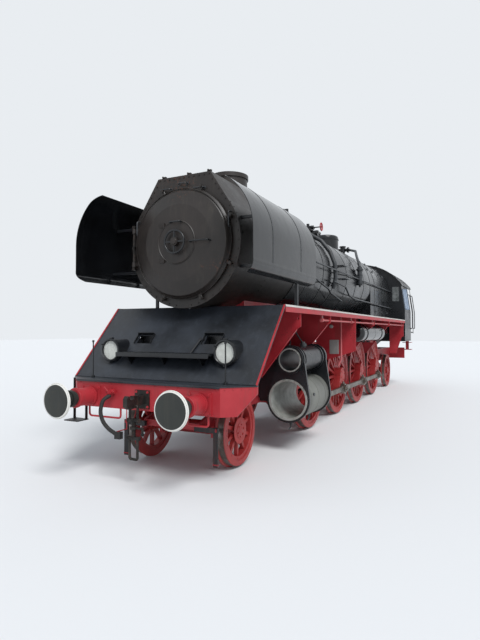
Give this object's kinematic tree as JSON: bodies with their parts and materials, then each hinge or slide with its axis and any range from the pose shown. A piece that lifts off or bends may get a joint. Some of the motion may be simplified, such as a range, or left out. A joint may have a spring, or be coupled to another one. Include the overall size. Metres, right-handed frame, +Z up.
{
  "type": "steam locomotive",
  "caption": "Large steam locomotive without tender: open cylinders, coupled wheels with level-moving rods, smoke deflectors, swinging smokebox door and hollow cab.",
  "frame": {"origin": "on the centre line, midway between the buffer faces and the rear drag beam, at the lowest point of the wheel flanges; the rail top is 28 mm above it", "axes": "+Z up, the front of the engine faces -Y, +X to its left side"},
  "size_m": [3.2886, 15.2, 4.671],
  "materials": {
    "black_paint": "satin",
    "red_paint": "satin",
    "wheel_red": "satin",
    "tyre_steel": "satin",
    "rod_steel": "satin",
    "cab_grey": "satin",
    "cast_iron": "matt",
    "smokebox_black": "matt",
    "lamp_glass": "clear",
    "window_glass": "clear",
    "hose_rubber": "matt"
  },
  "bodies": {
    "engine": {"frame_plates": "red_paint", "frame_stays": "red_paint", "axle_boxes": "cast_iron", "leaf_springs": "red_paint", "leading_truck": "red_paint", "trailing_truck": "red_paint", "brake_gear": "red_paint", "buffer_beam": "red_paint", "buffer_cases": "red_paint", "buffer_heads": "black_paint", "draw_gear": "cast_iron", "brake_hose": "hose_rubber", "beam_fittings": "red_paint", "apron": "black_paint", "apron_fittings": "black_paint", "running_boards": "black_paint", "board_valances": "red_paint", "board_brackets": "red_paint", "side_pipes": "cab_grey", "smokebox": "smokebox_black", "feed_heater": "smokebox_black", "door_hinge_pin": "tyre_steel", "chimney": "smokebox_black", "smoke_deflectors": "black_paint", "deflector_struts": "black_paint", "boiler_barrel": "black_paint", "firebox": "black_paint", "ashpan": "cast_iron", "boiler_mountings": "black_paint", "turret_handwheel": "wheel_red", "boiler_pipes": "cab_grey", "boiler_handrails": "cab_grey", "backhead_fittings": "cast_iron", "cylinders": "black_paint", "valve_chests": "black_paint", "saddle": "black_paint", "headlamps": "black_paint", "lamp_glasses": "lamp_glass", "air_reservoirs": "black_paint", "cab_front": "cab_grey", "cab_sides": "cab_grey", "cab_roof": "cab_grey", "cab_floor": "cast_iron", "cab_glass": "window_glass", "cab_steps": "red_paint"},
    "smokebox_door": {"smokebox_door": "smokebox_black", "door_fittings": "tyre_steel"},
    "firehole_flap": {"firehole_flap": "cast_iron"},
    "leading_wheelset": {"leading_wheels": "wheel_red"},
    "coupled_wheelset_1": {"coupled_wheels_1": "wheel_red", "coupled_axle_1": "tyre_steel"},
    "coupled_wheelset_2": {"coupled_wheels_2": "wheel_red", "coupled_axle_2": "tyre_steel"},
    "coupled_wheelset_3": {"coupled_wheels_3": "wheel_red", "coupled_axle_3": "tyre_steel"},
    "coupled_wheelset_4": {"coupled_wheels_4": "wheel_red", "coupled_axle_4": "tyre_steel"},
    "trailing_wheelset": {"trailing_wheels": "wheel_red"},
    "left_coupling_rod": {"coupling_rod_left": "rod_steel"},
    "right_coupling_rod": {"coupling_rod_right": "rod_steel"}
  },
  "joints": [
    {"name": "leading_axle_spin", "type": "hinge", "parent": "engine", "child": "leading_wheelset", "pos_m": [0, -5.75, 0.528], "axis": [1, 0, 0], "continuous": true},
    {"name": "coupled_axle_1_spin", "type": "hinge", "parent": "engine", "child": "coupled_wheelset_1", "pos_m": [0, -2.58, 0.903], "axis": [1, 0, 0], "continuous": true},
    {"name": "coupled_axle_2_spin", "type": "hinge", "parent": "engine", "child": "coupled_wheelset_2", "pos_m": [0, -0.58, 0.903], "axis": [1, 0, 0], "continuous": true},
    {"name": "coupled_axle_3_spin", "type": "hinge", "parent": "engine", "child": "coupled_wheelset_3", "pos_m": [0, 1.42, 0.903], "axis": [1, 0, 0], "continuous": true},
    {"name": "coupled_axle_4_spin", "type": "hinge", "parent": "engine", "child": "coupled_wheelset_4", "pos_m": [0, 3.42, 0.903], "axis": [1, 0, 0], "continuous": true},
    {"name": "trailing_axle_spin", "type": "hinge", "parent": "engine", "child": "trailing_wheelset", "pos_m": [0, 5.85, 0.578], "axis": [1, 0, 0], "continuous": true},
    {"name": "left_coupling_rod_level", "type": "hinge", "parent": "coupled_wheelset_2", "child": "left_coupling_rod", "pos_m": [0.99, -0.745, 0.61721], "axis": [1, 0, 0], "continuous": true},
    {"name": "right_coupling_rod_level", "type": "hinge", "parent": "coupled_wheelset_2", "child": "right_coupling_rod", "pos_m": [-0.99, -0.25, 0.903], "axis": [1, 0, 0], "continuous": true},
    {"name": "smokebox_door_hinge", "type": "hinge", "parent": "engine", "child": "smokebox_door", "pos_m": [-0.885, -6.045, 3.248], "axis": [0, 0, -1], "range_deg": [0, 95]},
    {"name": "firehole_flap_hinge", "type": "hinge", "parent": "engine", "child": "firehole_flap", "pos_m": [0, 5.67, 2.488], "axis": [-1, 0, 0], "range_deg": [0, 80]}
  ],
  "couplings": [
    {"joint": "coupled_axle_1_spin", "follows": "coupled_axle_2_spin", "ratio": 1},
    {"joint": "coupled_axle_3_spin", "follows": "coupled_axle_2_spin", "ratio": 1},
    {"joint": "coupled_axle_4_spin", "follows": "coupled_axle_2_spin", "ratio": 1},
    {"joint": "left_coupling_rod_level", "follows": "coupled_axle_2_spin", "ratio": -1},
    {"joint": "right_coupling_rod_level", "follows": "coupled_axle_2_spin", "ratio": -1}
  ]
}
